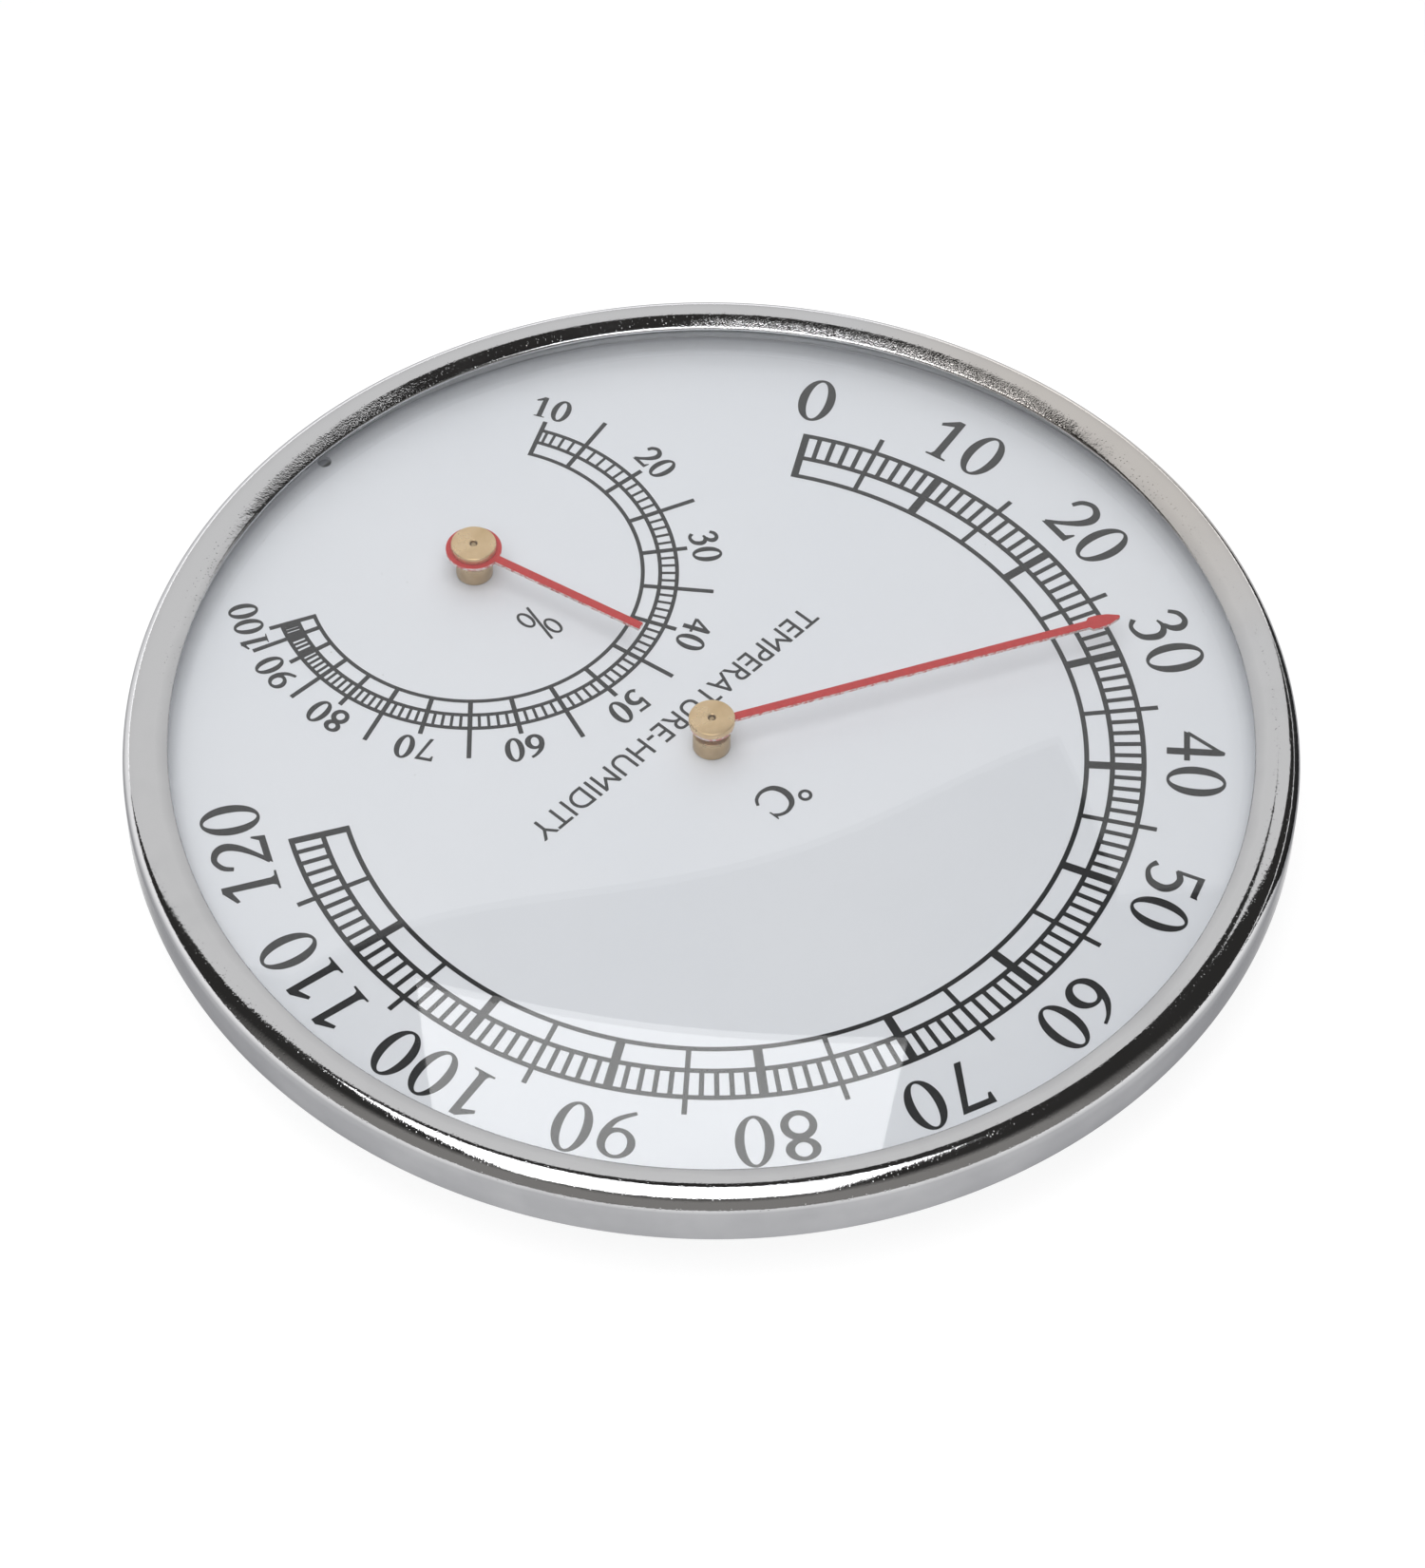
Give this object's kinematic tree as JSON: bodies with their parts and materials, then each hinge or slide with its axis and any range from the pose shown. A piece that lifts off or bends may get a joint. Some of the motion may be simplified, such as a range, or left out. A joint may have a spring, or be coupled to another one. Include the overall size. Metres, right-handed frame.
{
  "type": "dial hygrometer",
  "caption": "Round wall-hung dial instrument: chromed bezel, domed glass, white dial with a temperature hand over a smaller humidity hand, coil movements inside a pressed case.",
  "frame": {"origin": "centre of the flat back, with the instrument lying on its back", "axes": "+Z out of the dial towards the reader, +Y to 12 o'clock, +X to 3 o'clock"},
  "size_m": [0.127, 0.127, 0.0198],
  "materials": {
    "chrome": "bright chromed, faint orange peel",
    "glass": "clear, polished, domed",
    "spacer": "light grey plastic",
    "dial": "white enamel with black printing",
    "case": "pressed and plated sheet",
    "brass": "turned brass",
    "steel": "plain steel",
    "bimetal": "rolled bimetal strip",
    "humidity_strip": "coated humidity-sensing strip",
    "red_paint": "satin red lacquer"
  },
  "bodies": {
    "case": {"bezel_ring": "chrome", "glass_lens": "glass", "spacer_ring": "spacer", "dial_plate": "dial", "back_case": "case", "thermo_bush": "brass", "thermo_bush_washer": "steel", "thermo_bush_nut": "brass", "thermo_bridge": "steel", "thermo_anchor_post": "steel", "thermo_coil": "bimetal", "hygro_bush": "brass", "hygro_bush_washer": "steel", "hygro_bush_nut": "brass", "hygro_bridge": "steel", "hygro_anchor_post": "steel", "hygro_coil": "humidity_strip"},
    "thermo_hand": {"thermo_staff": "steel", "thermo_coil_collet": "brass", "thermo_hub_cap": "brass", "thermo_pointer": "red_paint"},
    "hygro_hand": {"hygro_staff": "steel", "hygro_coil_collet": "brass", "hygro_hub_cap": "brass", "hygro_pointer": "red_paint"}
  },
  "joints": [
    {"name": "thermo_reading", "type": "hinge", "parent": "case", "child": "thermo_hand", "pos_m": [0, 0, 0.0125], "axis": [0, 0, -1], "range_deg": [-60.7, 185.3], "stiffness_Nm_per_rad": 0.0004, "deforming": ["thermo_coil"]},
    {"name": "hygro_reading", "type": "hinge", "parent": "case", "child": "hygro_hand", "pos_m": [0, -0.0362, 0.0125], "axis": [0, 0, -1], "range_deg": [-105.95, 131.3], "stiffness_Nm_per_rad": 0.0004, "deforming": ["hygro_coil"]}
  ]
}
